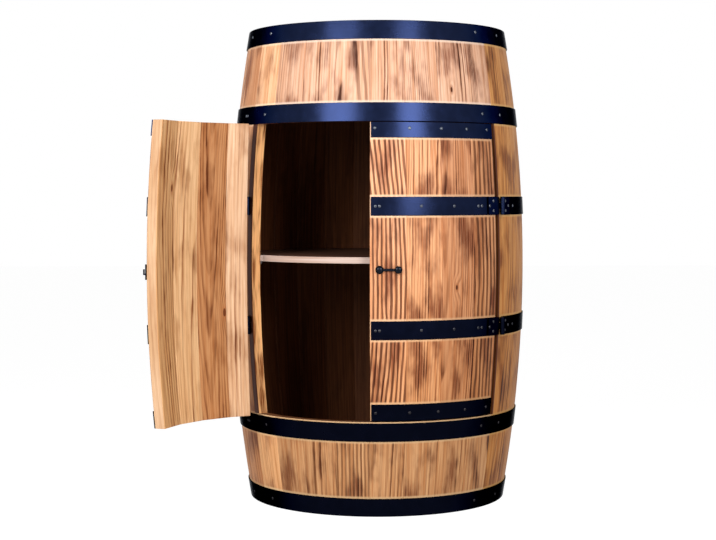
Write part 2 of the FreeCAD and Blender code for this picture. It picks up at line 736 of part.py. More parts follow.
def latch_arm():
    """A flat bar with an eye round the pivot and a knob, turned back to the right."""
    body = new_body("latch_arm")
    level = arm_level()
    reach = of("latch_reach")
    half = f"({of('latch_bar_width')} / 2)"
    wall = of("latch_bar_wall")
    bar = new_sketch(body, "XY_Plane", "bar_outline", lift=level)
    Outline(bar).draw([("0", f"(-{half})"), (reach, f"(-{half})"), (reach, half), ("0", half)]).finish()
    pad(body, bar, "bar", wall)
    for name, across in (("eye", "0"), ("knob_base", reach)):
        sketch = new_sketch(body, "XY_Plane", f"{name}_outline", lift=level)
        Outline(sketch).circle(of("latch_eye_radius"), across).finish()
        pad(body, sketch, name, wall)
    knob = new_sketch(body, "XY_Plane", "knob_outline", lift=f"({level} + {wall})")
    Outline(knob).circle(f"({of('latch_eye_radius')} - {of('knob_inset')})", reach).finish()
    pad(body, knob, "knob", of("knob_height"))
    hole = new_sketch(body, "XY_Plane", "eye_hole", lift=level)
    Outline(hole).circle(f"({of('latch_pivot_radius')} + {of('latch_pivot_fit')})").finish()
    pocket(body, hole, "eye_bore", wall, Reversed=True)
    body.Placement = on_flat(number(of("latch_angle")), number(of("latch_height")))
    return body


def latch_keeper():
    """A plate with a hook that is open at the top, for the arm to drop into."""
    body = new_body("latch_keeper")
    sketch = new_sketch(body, "YZ_Plane", "plate_side")
    half, wall = f"({of('keeper_height')} / 2)", of("keeper_wall")
    Outline(sketch).draw([(f"(-{half})", "0"), (half, "0"), (half, wall), (f"(-{half})", wall)]).finish()
    pad(body, sketch, "plate", of("keeper_width"), Midplane=True)
    hook = new_sketch(body, "YZ_Plane", "hook_side")
    seat = f"(-{of('latch_bar_width')} / 2 - {of('keeper_drop')})"
    under = f"({seat} - {of('keeper_floor')})"
    slot = f"({arm_level()} + {of('latch_bar_wall')} + {of('keeper_slack')})"
    face = f"({slot} + {wall})"
    tip = f"({of('latch_bar_width')} / 2 + {of('keeper_lip')})"
    corners = [(under, "0"), (seat, "0"), (seat, slot), (tip, slot), (tip, face), (under, face)]
    Outline(hook).draw(corners).finish()
    pad(body, hook, "hook", of("keeper_hook_width"), Midplane=True)
    distance = math.degrees(number(of("keeper_distance")) / number(of("belly_radius")))
    body.Placement = on_flat(number(of("latch_angle")) - distance, number(of("latch_height")))
    return body


# -------------------------------------------------------------------- assembly

def cabinet_nodes():
    yield from full_staves()
    yield left_jamb_stave()
    yield short_staves("header_staves", of("opening_top"), of("barrel_height"))
    yield short_staves("sill_staves", "0", of("opening_bottom"))
    yield head("top_head", f"({of('barrel_height')} - {of('croze_height')})")
    yield head("bottom_head", of("croze_height"), upside_down=True)
    highest_band = f"({of('barrel_height')} - {of('band_width')})"
    yield hoop("bottom_chime_hoop", "0")
    yield hoop("lower_quarter_hoop", of("lower_quarter_inset"))
    yield hoop("lower_bilge_hoop", of("lower_bilge_band"), whole=False)
    yield hoop("upper_bilge_hoop", of("upper_bilge_band"), whole=False)
    yield hoop("upper_quarter_hoop", f"({highest_band} - {of('upper_quarter_inset')})")
    yield hoop("top_chime_hoop", highest_band)
    yield hinge_leaves("right_jamb_hinge_leaves", RIGHT, on_door=False)
    yield hinge_leaves("left_jamb_hinge_leaves", LEFT, on_door=False)
    yield hinge_pins()
    yield shelf()
    yield shelf_pins()


def door_nodes(name, side):
    yield from door_staves(name, side)
    yield from door_straps(name, side)
    yield hinge_leaves(f"{name}_hinge_leaves", side, on_door=True)


def swing_open(node, side, angle):
    """Swings a node, or each piece of a grouped one, about its door's hinge axis."""
    pieces = node.Links if node.isDerivedFrom("Part::Compound") else [node]
    for piece in pieces:
        piece.Placement = swung(side, angle) * piece.Placement


def build():
    nodes = list(cabinet_nodes())
    nodes += [*door_nodes("right_door", RIGHT), latch_pivot(), latch_arm()]
    left = [*door_nodes("left_door", LEFT), latch_keeper()]
    for node in left:
        swing_open(node, LEFT, number(of("left_door_open")))
    return nodes + left


def check(nodes):
    """Stops on any object that failed to build, and on any node with no valid solid."""
    for item in document.Objects:
        if "Invalid" in item.State or "Error" in item.State:
            raise RuntimeError(f"{item.Label} failed: {item.State}")
    for node in nodes:
        shape = node.Shape
        if shape.isNull() or not shape.isValid() or not shape.Solids:
            raise RuntimeError(f"{node.Label} has no valid solid")


def export(nodes):
    os.makedirs("parts", exist_ok=True)
    for node in nodes:
        node.Shape.exportStep(f"parts/{node.Label}.step")
    print(len(nodes), "nodes,", sum(len(node.Shape.Solids) for node in nodes), "solids")


parts = build()
document.recompute()
check(parts)
export(parts)
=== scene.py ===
import json
import math
import random
from dataclasses import dataclass, replace
from functools import reduce

import bmesh
import bpy
from mathutils import Matrix, Vector


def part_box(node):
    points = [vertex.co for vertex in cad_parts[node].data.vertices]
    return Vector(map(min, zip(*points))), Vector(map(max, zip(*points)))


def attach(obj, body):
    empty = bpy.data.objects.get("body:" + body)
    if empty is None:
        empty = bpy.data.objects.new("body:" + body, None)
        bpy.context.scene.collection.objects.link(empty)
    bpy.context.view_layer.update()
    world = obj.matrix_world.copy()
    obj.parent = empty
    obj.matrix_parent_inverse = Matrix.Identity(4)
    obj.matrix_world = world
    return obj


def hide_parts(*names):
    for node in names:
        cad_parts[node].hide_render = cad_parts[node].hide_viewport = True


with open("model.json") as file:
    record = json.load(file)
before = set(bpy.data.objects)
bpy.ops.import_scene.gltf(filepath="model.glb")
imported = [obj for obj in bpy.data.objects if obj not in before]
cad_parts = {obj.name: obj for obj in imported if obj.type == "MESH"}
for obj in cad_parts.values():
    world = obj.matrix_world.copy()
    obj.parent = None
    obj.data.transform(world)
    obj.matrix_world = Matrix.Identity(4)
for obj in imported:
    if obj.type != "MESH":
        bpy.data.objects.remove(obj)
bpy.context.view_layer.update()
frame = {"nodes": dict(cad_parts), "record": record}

# A barrel made into a bar cabinet. Metres, with the origin on the floor on the barrel's
# axis, +Z up and the doors facing -Y. An angle round the barrel is in degrees, 0 at -Y
# and growing towards +X. A side is 1 for the right door's and -1 for the left door's.

# ---------------------------------------- sizes

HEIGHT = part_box("stave_09")[1].z
BELLY = 0.2535                  # outside radius at half height
BOW = 2.3                       # radius of the arc up the outside of a stave
WALL = 0.018                    # thickness of a stave
STAVE_ANGLE = 360 / 26
JAMBS = {1: 51.4, -1: 56.1}     # from the front to each edge of the doorway
MEETING = JAMBS[1] - 4 * STAVE_ANGLE    # where the doors meet
SILL, HEADER = 0.157, 0.6385    # bottom and top of the doorway
DOOR_LOW, DOOR_HIGH = 0.159, 0.637
DOOR_GAP = 1.4                  # degrees, of the saw cut between door and jamb
HALF_GAP = 0.35                 # degrees, half of the gap between the doors
RIM, CHIME = 0.010, 0.012       # flat end and height of the chime bevel
ARRIS = 0.0009                  # rounding of a board's long edges

BAND_WALL, BAND_FIT = 0.002, 0.0001     # thickness of the iron, and its gap to the wood
BAND_WIDTH = 0.030

# The lower edge of each hoop, and the lower edge and the width of each strap.
HOOPS = {"bottom_chime_hoop": 0.0, "lower_quarter_hoop": 0.125, "upper_quarter_hoop": 0.638,
         "top_chime_hoop": 0.770, "lower_bilge_hoop": 0.290, "upper_bilge_hoop": 0.488}
STRAPS = {"top_strap": (0.612, 0.025),
          "upper_bilge_strap": (HOOPS["upper_bilge_hoop"], BAND_WIDTH),
          "lower_bilge_strap": (HOOPS["lower_bilge_hoop"], BAND_WIDTH),
          "bottom_strap": (DOOR_LOW, 0.027)}
BILGE_HOOPS = ("upper_bilge_hoop", "lower_bilge_hoop")   # these stop at the jambs

JOINTS = {joint["name"]: joint for joint in frame["record"]["behaviour"]["joints"]}
LEFT_OPEN = -JOINTS["left_door_hinge"]["range_deg"][0]
LEFT_HINGE = Vector(JOINTS["left_door_hinge"]["pos_m"])


def outside(height, bow=BOW):
    """Radius of the barrel's outside, or of another bow about the same centre."""
    return math.sqrt(bow ** 2 - (height - HEIGHT / 2) ** 2) - (BOW - BELLY)


def inside(height):
    """Distance from the axis to the flat inside of a stave, chime bevels included."""
    from_end = min(height, HEIGHT - height)
    if from_end >= CHIME:
        return outside(height, BOW - WALL)
    rim = outside(0) - RIM
    return rim + (outside(CHIME, BOW - WALL) - rim) * from_end / CHIME


def around(angle, radius, height):
    """A point at an angle round the barrel."""
    turn = math.radians(angle)
    return Vector((radius * math.sin(turn), -radius * math.cos(turn), height))


def jamb(side, further=0.0):
    """Angle of a jamb, or of a place further round the barrel."""
    return side * (JAMBS[side] + further)


def swung_open():
    """Takes what is drawn on the closed left door to where that door stands."""
    turn = Matrix.Rotation(math.radians(-LEFT_OPEN), 4, "Z")
    return Matrix.Translation(LEFT_HINGE) @ turn @ Matrix.Translation(-LEFT_HINGE)


AS_DRAWN = Matrix.Identity(4)
DOORS = {"right_door": (1, AS_DRAWN), "left_door": (-1, swung_open())}     # side and place


# ---------------------------------------- nodes

def math_method(operation, reflected=False):
    """Makes a method of Value: a Math node on the value itself and any other terms."""
    def method(value, *others):
        terms = (value, *others)
        return value.nodes.maths(operation, *(terms[::-1] if reflected else terms))
    return method


class Value:
    """A number that changes over a surface, for writing the maths of nodes as Python."""

    __add__ = __radd__ = math_method("ADD")
    __mul__ = __rmul__ = math_method("MULTIPLY")
    __sub__ = math_method("SUBTRACT")
    __rsub__ = math_method("SUBTRACT", reflected=True)
    __truediv__ = math_method("DIVIDE")
    __rtruediv__ = math_method("DIVIDE", reflected=True)
    __abs__ = math_method("ABSOLUTE")
    root = math_method("SQRT")
    whole = math_method("FLOOR")
    part = math_method("FRACT")         # what is left after the whole number is taken off
    least = math_method("MINIMUM")
    most = math_method("MAXIMUM")

    def __init__(self, nodes, socket):
        self.nodes = nodes
        self.socket = socket

    def ramp(self, start, end, low=0.0, high=1.0):
        """Goes softly from low at start to high at end."""
        node = self.nodes.add("ShaderNodeMapRange", {"interpolation_type": "SMOOTHSTEP"},
                              {0: self, 1: start, 2: end, 3: low, 4: high})
        return Value(self.nodes, node.outputs[0])


class Nodes:
    """A tree of nodes in the making."""

    def __init__(self, tree):
        self.tree = tree

    def add(self, kind, settings=None, values=None):
        """Any node: its settings first, then the values or links of its sockets."""
        node = self.tree.nodes.new(kind)
        for name, setting in (settings or {}).items():
            setattr(node, name, setting)
        for key, value in (values or {}).items():
            self.feed(node.inputs[key], value)
        return node

    def feed(self, socket, value):
        if isinstance(value, Value):
            value = value.socket
        if isinstance(value, bpy.types.NodeSocket):
            self.tree.links.new(value, socket)
        else:
            socket.default_value = value

    def maths(self, operation, *terms):
        node = self.add("ShaderNodeMath", {"operation": operation}, dict(enumerate(terms)))
        return Value(self, node.outputs[0])


class Finish(Nodes):
    """A material in the making."""

    def __init__(self, name):
        self.material = bpy.data.materials.new(name)
        self.material.use_nodes = True
        super().__init__(self.material.node_tree)
        self.surface = self.tree.nodes["Principled BSDF"]

    def set(self, **values):
        """Feeds the surface's own sockets, named with _ for a space."""
        for name, value in values.items():
            self.feed(self.surface.inputs[name.replace("_", " ")], value)
        return self.material

    def split(self, vector):
        parts = self.add("ShaderNodeSeparateXYZ", values={0: vector})
        return [Value(self, socket) for socket in parts.outputs]

    def attribute(self, name):
        """The three numbers of one of the piece's own attributes."""
        source = self.add("ShaderNodeAttribute", {"attribute_name": name})
        return self.split(source.outputs["Vector"])

    def place(self):
        """Where a point of the piece lies, in metres."""
        return self.split(self.add("ShaderNodeTexCoord").outputs["Object"])

    def noise(self, across, along, third=0.0, detail=2.0):
        place = self.add("ShaderNodeCombineXYZ", values={0: across, 1: along, 2: third})
        node = self.add("ShaderNodeTexNoise", values={
            "Vector": place.outputs[0], "Scale": 1.0, "Detail": detail})
        return Value(self, node.outputs[0])

    def mix(self, share, first, second, blend="MIX"):
        """A colour between two colours. 6, 7 and 2 are a Mix node's own colour sockets."""
        settings = {"data_type": "RGBA", "blend_type": blend}
        return self.add("ShaderNodeMix", settings, {0: share, 6: first, 7: second}).outputs[2]

    def tint(self, share, base, other):
        """A colour multiplied by another."""
        return self.mix(share, base, other, "MULTIPLY")

    def bump(self, height, strength, distance):
        node = self.add("ShaderNodeBump", values={
            "Height": height, "Strength": strength, "Distance": distance})
        return node.outputs[0]


# ----------------------------------------- wood

MM = 1000                       # millimetres in a metre
SAFE = 0.01                     # millimetres, added to a size that may be 0 before it divides


def colour(red, green, blue):
    """A colour given as 0 to 255 on screen, as a shader takes it."""
    parts = [part / 255 for part in (red, green, blue)]
    return tuple(part / 12.92 if part <= 0.04045 else ((part + 0.055) / 1.055) ** 2.4
                 for part in parts) + (1.0,)


@dataclass(frozen=True)
class Tones:
    """The colours of one finish of pine."""
    early: tuple            # between the year rings
    early_dark: tuple
    late: tuple             # the rings themselves
    late_dark: tuple
    scorch: tuple
    beside_iron: tuple
    foot: tuple             # painted shade: multiplies the colour darker towards the floor
    lines: float            # how plainly the rings show
    scorching: float
    roughness: float


class Pine(Finish):
    """Pine in a board's own coordinates, in millimetres: year rings about the heart of
    the log that the board was sawn from, so that its sides and ends agree with its face."""

    CALM_REACH = 5              # millimetres that the iron kept from the flame
    FOOT_STARTS, FOOT_FULL = 620, 90    # millimetres up, between which painted shade makes it darker and browner

    def __init__(self, name, tones, bands=(), scorched_and_shaded=False):
        super().__init__(name)
        self.tones = tones
        self.across, self.depth, self.along = (value * MM for value in self.attribute("board"))
        self.seed, self.gap, self.lean = self.attribute("growth")
        self.heart_across, self.heart_depth, self.boldness = self.attribute("heart")
        self.to_knot = self.knot_distance()
        self.streaks = self.grain(0.30, 0.006, shift=11, detail=3)
        self.brushed = self.noise(self.across * 1.1 + self.seed, self.along * 0.013,
                                  self.depth * 1.1, detail=2)
        self.fibres = self.noise(self.across * 2.6, self.along * 0.03, self.depth * 2.6, detail=1)

        calm = self.beside(bands) if bands else 0.0
        flame = self.flame()
        strength = self.ring_strength(flame) * (1 - calm * 0.8)
        shade = self.shade(flame * (1 - calm), strength)
        shade = self.marked(self.mix(calm * 0.75, shade, tones.beside_iron))
        # Scorch beside the saw cuts, partly painted shade of the gaps beside the doors.
        if scorched_and_shaded:
            shade = self.mix(self.cut_scorch_and_shade(), shade, tones.late_dark)

        relief = strength * 0.7 + self.fibres * 0.3 + self.brushed * 0.3
        self.set(Base_Color=shade, Specular_IOR_Level=0.12,
                 Normal=self.bump(relief, strength=0.4, distance=0.0006),
                 Roughness=self.streaks.ramp(0.2, 0.8, tones.roughness - 0.06, tones.roughness + 0.08))

    def grain(self, across, along, shift, detail):
        """Noise of so many waves to a millimetre each way, in another place on each board."""
        return self.noise(self.across * across + self.seed * shift, self.along * along,
                          self.seed, detail)

    def knot_distance(self):
        """How far off the knot is, as a multiple of its radius. Knots are long ovals."""
        across, along, size = self.attribute("knot")
        x = (self.across - across * MM) / (size * MM + SAFE)
        y = (self.along - along * MM) / (size * MM * 2.2 + SAFE)
        return (x * x + y * y).root()

    def beside(self, bands):
        """1 next to the iron, fading out over the reach."""
        gaps = [abs(self.along - (low + width / 2) * MM) - width / 2 * MM for low, width in bands]
        return reduce(Value.least, gaps).ramp(0.5, self.CALM_REACH, 1.0, 0.0)

    def flame(self):
        """How scorched the wood is, in clouds that are longer than they are wide."""
        patches = self.noise(self.across * 0.036 + self.depth * 0.12 + self.seed * 5,
                             self.along * 0.013, self.seed * 2, detail=3)
        scorching = self.tones.scorching
        return patches.ramp(0.585 - scorching * 0.14, 0.70) * scorching

    def ring_strength(self, flame):
        """How plainly a year ring shows: not at all between rings, and fully on a bold one."""
        sway = (self.grain(0.008, 0.0032, shift=7.3, detail=1) - 0.5) * 16
        ripple = (self.grain(0.05, 0.011, shift=3.1, detail=2) - 0.5) * 0.9
        side = self.across - self.heart_across * MM + sway
        deep = self.depth + self.heart_depth * MM + self.lean * (self.along - HEIGHT / 2 * MM)
        from_heart = (side * side + deep * deep).root() / (self.gap * MM)
        rings = from_heart + ripple + self.to_knot.ramp(0.3, 6.5, 1.3, 0.0)

        phase = rings.part()
        year = self.noise((rings - phase) * 3.7, self.seed * 2.1, detail=0)
        plainness = self.grain(0.05, 0.0025, shift=2.3, detail=1)
        line = phase.ramp(0.30, 0.80) * phase.ramp(0.84, 1.0, 1.0, 0.0) * year.ramp(0.3, 0.62, 0.25, 1.0)
        line = line * self.tones.lines * (self.streaks.ramp(0.25, 0.6, 0.45, 1.0) + flame * 0.6)
        line = line * plainness.ramp(0.42, 0.62, 0.35, 1.1)
        bold = phase.ramp(0.36, 0.56) * phase.ramp(0.86, 1.0, 1.0, 0.0)
        return (line * (self.boldness.least(0.0) + 1)).most(bold * self.boldness)

    def shade(self, flame, strength):
        """The colour of the wood itself."""
        tones, streaks, brushed = self.tones, self.streaks, self.brushed
        early = self.mix(streaks.ramp(0.35, 0.7), tones.early, tones.early_dark)
        early = self.mix(brushed.ramp(0.45, 0.75, 0.0, 0.7), early, tones.early_dark)
        early = self.mix(flame * brushed.ramp(0.3, 0.6, 0.35, 1.0), early, tones.scorch)
        darker = flame * 0.8 + streaks.ramp(0.3, 0.7, 0.0, 0.7) + self.boldness.most(0.0) * 0.5
        late = self.mix(darker.least(1.0), tones.late, tones.late_dark)
        shade = self.mix(strength.least(1.0), early, late)
        return self.tint(self.fibres.ramp(0.35, 0.75, 0.0, 0.35), shade, tones.early_dark)

    def marked(self, shade):
        """The board's own tone, painted shade that darkens and browns it towards the floor, and its knot.
        """
        tone = self.add("ShaderNodeAttribute", {"attribute_name": "tone"}).outputs["Color"]
        shade = self.tint(1.0, shade, tone)
        # Painted shade: darker and browner towards the floor.
        shade = self.tint(self.along.ramp(self.FOOT_STARTS, self.FOOT_FULL), shade, self.tones.foot)
        shade = self.mix(self.to_knot.ramp(1.0, 2.4, 0.55, 0.0), shade, self.tones.late)
        return self.mix(self.to_knot.ramp(0.75, 1.05, 1.0, 0.0), shade, self.tones.late_dark)

    def cut_scorch_and_shade(self):
        """1 at a saw cut beside the doors, fading out over the cut's own reach: scorch there, partly
        painted shade of the gap between door and jamb.
        """
        low, high, reach = self.attribute("sawn")
        to_cut = (self.across - low * MM).least(high * MM - self.across) / (reach * MM + SAFE)
        beside_doors = (self.along - SILL * MM).least(HEADER * MM - self.along).ramp(-1.0, 0.5)
        return to_cut.ramp(0.3, 1.0, 1.0, 0.0) * beside_doors


NO_TINT = (1.0, 1.0, 1.0, 1.0)

FLAMED = Tones(early=colour(243, 188, 145), early_dark=colour(212, 147, 101),
               late=colour(134, 72, 36), late_dark=colour(70, 30, 13), scorch=colour(134, 74, 46),
               beside_iron=colour(250, 210, 172), foot=(0.76, 0.69, 0.54, 1.0),
               lines=1.0, scorching=1.0, roughness=0.52)
BARE = Tones(early=colour(226, 174, 128), early_dark=colour(206, 146, 98),
             late=colour(170, 104, 60), late_dark=colour(104, 52, 24), scorch=colour(172, 112, 68),
             beside_iron=colour(226, 174, 128), foot=(0.95, 0.92, 0.86, 1.0),
             lines=0.85, scorching=0.85, roughness=0.6)
STAINED = Tones(early=colour(120, 72, 42), early_dark=colour(94, 54, 32),
                late=colour(66, 36, 22), late_dark=colour(42, 22, 13), scorch=colour(64, 36, 22),
                beside_iron=colour(120, 72, 42), foot=NO_TINT,
                lines=0.7, scorching=0.5, roughness=0.55)
SAWN = Tones(early=colour(212, 168, 136), early_dark=colour(196, 148, 112),
             late=colour(168, 114, 78), late_dark=colour(120, 72, 42), scorch=colour(180, 124, 86),
             beside_iron=colour(212, 168, 136), foot=NO_TINT,
             lines=0.9, scorching=0.7, roughness=0.7)
SCORCHED_CUT = replace(
    SAWN, early=colour(232, 170, 112), early_dark=colour(218, 154, 98), late=colour(150, 88, 44),
    late_dark=colour(92, 46, 18), scorch=colour(118, 60, 24), scorching=1.35)

BARREL_BANDS = [(low, BAND_WIDTH) for low in HOOPS.values()]
DOOR_BANDS = list(STRAPS.values())

flamed_pine = Pine("flamed_pine", FLAMED, BARREL_BANDS, scorched_and_shaded=True).material
flamed_door_pine = Pine("flamed_door_pine", FLAMED, DOOR_BANDS, scorched_and_shaded=True).material
bare_pine = Pine("bare_pine", BARE).material
sawn_pine = Pine("sawn_pine", SAWN).material
scorched_cut_pine = Pine("scorched_cut_pine", SCORCHED_CUT).material
stained_pine = Pine("stained_pine", STAINED).material


# ---------------------------------------- metal

BLACK_EDGE = (0.09, 0.10, 0.12, 1.0)    # colour of the iron's glare, seen along its face
LOW_IRON_SHADE = (0.22, 0.19, 0.18, 1.0)      # painted shade: multiplies the iron's colour low on the barrel, where the lamps' sheen doesn't fall


def blackened(name, shade, brown, roughness):
    """Iron with a thin blue-black skin, which stays dark where it is seen along its face, with painted
    shade that darkens it low on the barrel.
    """
    finish = Finish(name)
    x, y, z = finish.place()
    cloud = finish.noise(x * 60, y * 60, z * 60, detail=3)
    brush = finish.noise(x * 40, y * 40, z * 900, detail=2)
    shade = finish.mix(cloud.ramp(0.25, 0.75), brown, shade)
    # Painted shade: the iron is darker low on the barrel and lighter high up, where the lamps' sheen
    # falls.
    shade = finish.tint(z.ramp(0.62, 0.20), shade, LOW_IRON_SHADE)
    return finish.set(Base_Color=shade, Metallic=1.0, Specular_Tint=BLACK_EDGE,
                      Roughness=cloud.ramp(0.25, 0.75, roughness, roughness + 0.05),
                      Normal=finish.bump(cloud + brush * 1.2, strength=0.06, distance=0.0005))


def plated_steel():
    """Bright zinc, a little uneven."""
    finish = Finish("plated_steel")
    x, y, z = finish.place()
    cloud = finish.noise(x * 200, y * 200, z * 200)
    shade = finish.mix(cloud, colour(176, 176, 180), colour(150, 150, 152))
    return finish.set(Base_Color=shade, Metallic=1.0, Roughness=cloud.ramp(0.3, 0.7, 0.28, 0.42))


black_iron = blackened("black_iron", colour(26, 34, 60), colour(23, 30, 53), 0.23)
worn_iron = blackened("worn_iron", colour(44, 48, 58), colour(34, 37, 44), 0.24)
rubbed_iron = blackened("rubbed_iron", colour(110, 114, 122), colour(84, 88, 96), 0.30)
zinc = plated_steel()


# ------------------------------------- building

def into_scene(name, data):
    """A new object in the scene."""
    made = bpy.data.objects.new(name, data)
    bpy.context.scene.collection.objects.link(made)
    return made


def hand_over(piece, body, nodes, sharp):
    """Puts a piece on its body, in place of the CAD nodes that it stands for. Edges that
    turn by more than sharp degrees stay crisp."""
    piece.data.shade_smooth()
    piece.data.set_sharp_from_angle(angle=math.radians(sharp))
    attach(piece, body)
    if nodes:
        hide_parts(*nodes)


class Piece:
    """One piece of the cabinet: closed skins with their materials and attributes."""

    def __init__(self, name, materials, place=AS_DRAWN):
        self.name = name
        self.materials = materials
        self.place = place
        self.bm = bmesh.new()
        self.board = self.bm.verts.layers.float_vector.new("board")

    def skin(self, rows, tones, boards=None, ring=False, ends=(0, 0)):
        """Covers cross-sections of equal numbers of points. tones gives the material of
        the faces that follow each point; ends, those of the first and last caps."""
        made = [[self.bm.verts.new(point) for point in row] for row in rows]
        for verts, places in zip(made, boards or ()):
            for vert, place in zip(verts, places):
                vert[self.board] = place
        faces = []
        for first, second in zip(made, made[1:] + made[:1] if ring else made[1:]):
            for column, tone in enumerate(tones):
                after = (column + 1) % len(tones)
                face = self.bm.faces.new((first[column], first[after], second[after], second[column]))
                face.material_index = tone
                faces.append(face)
        if not ring:
            for verts, tone in ((made[0][::-1], ends[0]), (made[-1], ends[1])):
                face = self.bm.faces.new(verts)
                face.material_index = tone
                faces.append(face)
        bmesh.ops.recalc_face_normals(self.bm, faces=faces)

    def make(self, body, slot, *nodes, growth=None):
        """Turns the skins into an object, with how its board grew, and hands it over."""
        mesh = bpy.data.meshes.new(self.name)
        self.bm.transform(self.place)
        self.bm.to_mesh(mesh)
        self.bm.free()
        for material in self.materials:
            mesh.materials.append(material)
        for name, vector in (growth.attributes() if growth else {}).items():
            layer = mesh.attributes.new(name, "FLOAT_VECTOR", "POINT")
            layer.data.foreach_set("vector", [part for _ in mesh.vertices for part in vector])
        hand_over(into_scene(self.name, mesh), body, nodes, sharp=40)


class Grower(Nodes):
    """A tree in the making that grows meshes from seats, with named inputs."""

    def __init__(self, name, **inputs):
        super().__init__(bpy.data.node_groups.new(name, "GeometryNodeTree"))
        face = self.tree.interface
        kinds = {"Seats": "Geometry", "Metal": "Material", **inputs}
        self.sockets = {label: face.new_socket(label, in_out="INPUT", socket_type=f"NodeSocket{kind}")
                        for label, kind in kinds.items()}
        face.new_socket("Made", in_out="OUTPUT", socket_type="NodeSocketGeometry")
        outputs = self.add("NodeGroupInput").outputs
        self.given = {label: Value(self, outputs[label]) for label in kinds}

    def end(self, geometry):
        """Ends the tree in plain mesh of one metal."""
        real = self.add("GeometryNodeRealizeInstances", values={"Geometry": geometry})
        finished = self.add("GeometryNodeSetMaterial", values={
            "Geometry": real.outputs[0], "Material": self.given["Metal"]})
        self.feed(self.add("NodeGroupOutput").inputs[0], finished.outputs[0])

    def grow(self, name, seats, place, **values):
        """Makes the object of a mesh of seats and the tree's own inputs."""
        piece = into_scene(name, seats)
        modifier = piece.modifiers.new(name, "NODES")
        modifier.node_group = self.tree
        for label, value in values.items():
            modifier[self.sockets[label].identifier] = value
        evaluated = piece.evaluated_get(bpy.context.evaluated_depsgraph_get())
        made = bpy.data.meshes.new_from_object(evaluated)
        piece.modifiers.remove(modifier)
        made.transform(place)
        piece.data = made
        return piece


# --------------------------------------- staves

OUT, IN, SIDE, ENDS = 0, 1, 2, 3        # slots of a stave's materials
RIGHT_JAMB_STAVE, LEFT_JAMB_STAVE = 1, -7
WHOLE_STAVES = 18
YELLOW_STAVES = 3                       # of them, beside the right jamb
YELLOW = (0.72, 0.65, 0.40)
SHORT_STAVES = 7                        # that the doorway cuts through
BENDS = 6                               # flats across the outside of a stave
STEP_UP = 0.02                          # between cross-sections


@dataclass
class Growth:
    """How the log of one board grew, and how it was sawn."""
    seed: float
    gap: float = 0.005              # between year rings
    lean: float = 0.05              # of the heart, along the board
    heart: tuple = (0.01, 0.06)     # across and below the board's face
    bold: float = 0.0               # how plainly every ring is burnt in; below 0, fainter
    tone: tuple = (1.0, 1.0, 1.0)   # multiplies the colour of the wood
    knot: tuple = (0.0, -1.0, 0.0)  # across, along, radius
    sawn: tuple = (-1.0, 1.0, 0.0)  # places across of the saw's cuts, and reach of the scorch and painted gap shade beside them

    def attributes(self):
        return {"growth": (self.seed, self.gap, self.lean),
                "heart": (*self.heart, self.bold), "tone": self.tone, "knot": self.knot,
                "sawn": self.sawn}


def browned(share):
    """The tone of a board that is browner than the rest by a share."""
    return 1 - 0.32 * share, 1 - 0.46 * share, 1 - 0.58 * share


def any_growth(seed, tone=None):
    """A board like the rest of the barrel's."""
    pick = random.Random(seed)
    side = pick.choice((-1, 1))
    return Growth(seed=seed % 97 + pick.random(), gap=pick.uniform(0.0030, 0.0060),
                  lean=pick.uniform(-0.05, 0.05),
                  heart=(side * pick.uniform(0.012, 0.10), pick.uniform(0.01, 0.05)),
                  bold=pick.choice((-0.75, -0.6, -0.5, -0.3, 0.0)),
                  tone=tone or browned(pick.uniform(0.0, 0.7)))


def stave_middle(index):
    """Angle of a stave's middle; index counts staves from the right jamb."""
    return jamb(1) + STAVE_ANGLE * (index - 0.5)


def across(index, angle):
    """Where an angle lies across a stave, from its middle."""
    return math.radians(angle - stave_middle(index)) * BELLY


def stave_heights(low, high):
    """Heights of the cross-sections: ends, arrises, chime bevels and even steps between."""
    steps = max(2, round((high - low) / STEP_UP))
    between = [low + (high - low) * step / steps for step in range(1, steps)]
    bevels = [height for height in (CHIME, HEIGHT - CHIME) if low + ARRIS < height < high - ARRIS]
    return [low, *sorted([low + ARRIS, *between, *bevels]), high - ARRIS, high]


def stave_rows(middle, start, end, low, high):
    """Cross-sections up a stave between two angles, with the arrises taken off."""
    rows, boards = [], []
    for height in stave_heights(low, high):
        cut = ARRIS if height in (low, high) else 0.0
        back, face = outside(height) - cut, inside(height) + cut
        inset = math.degrees(ARRIS / back)
        bends = [start + (end - start) * step / BENDS for step in range(1, BENDS)]
        outer = [(angle, back) for angle in (start + inset, *bends, end - inset)]
        first, last = (face / math.cos(math.radians(angle - middle)) for angle in (start, end))
        ring = [(start, back - ARRIS), *outer, (end, back - ARRIS), (end, last + ARRIS),
                (end - inset, last), (start + inset, first), (start, first + ARRIS)]
        rows.append([around(angle, radius, height) for angle, radius in ring])
        boards.append([Vector((math.radians(angle - middle) * BELLY, outside(height) - radius, height))
                       for angle, radius in ring])
    tones = [OUT] * (BENDS + 2) + [SIDE, IN, IN, IN, SIDE]
    return rows, boards, tones


def add_stave(piece, index, low=0.0, high=HEIGHT, start=None, end=None):
    """Adds a stave, or a length of one, to a piece. It is a whole stave wide, except
    where it starts or ends at an angle of its own."""
    middle = stave_middle(index)
    start = middle - STAVE_ANGLE / 2 if start is None else start
    end = middle + STAVE_ANGLE / 2 if end is None else end
    rows, boards, tones = stave_rows(middle, start, end, low, high)
    piece.skin(rows, tones, boards, ends=(IN if low == HEADER else ENDS, IN if high == SILL else ENDS))


BARREL_WOOD = (flamed_pine, stained_pine, bare_pine, flamed_pine)
# The right jamb's cut faces take the dark stained pine as painted shade of the saw cut.
RIGHT_JAMB_WOOD = (flamed_pine, stained_pine, stained_pine, flamed_pine)
LEFT_JAMB_WOOD = (flamed_pine, stained_pine, scorched_cut_pine, flamed_pine)
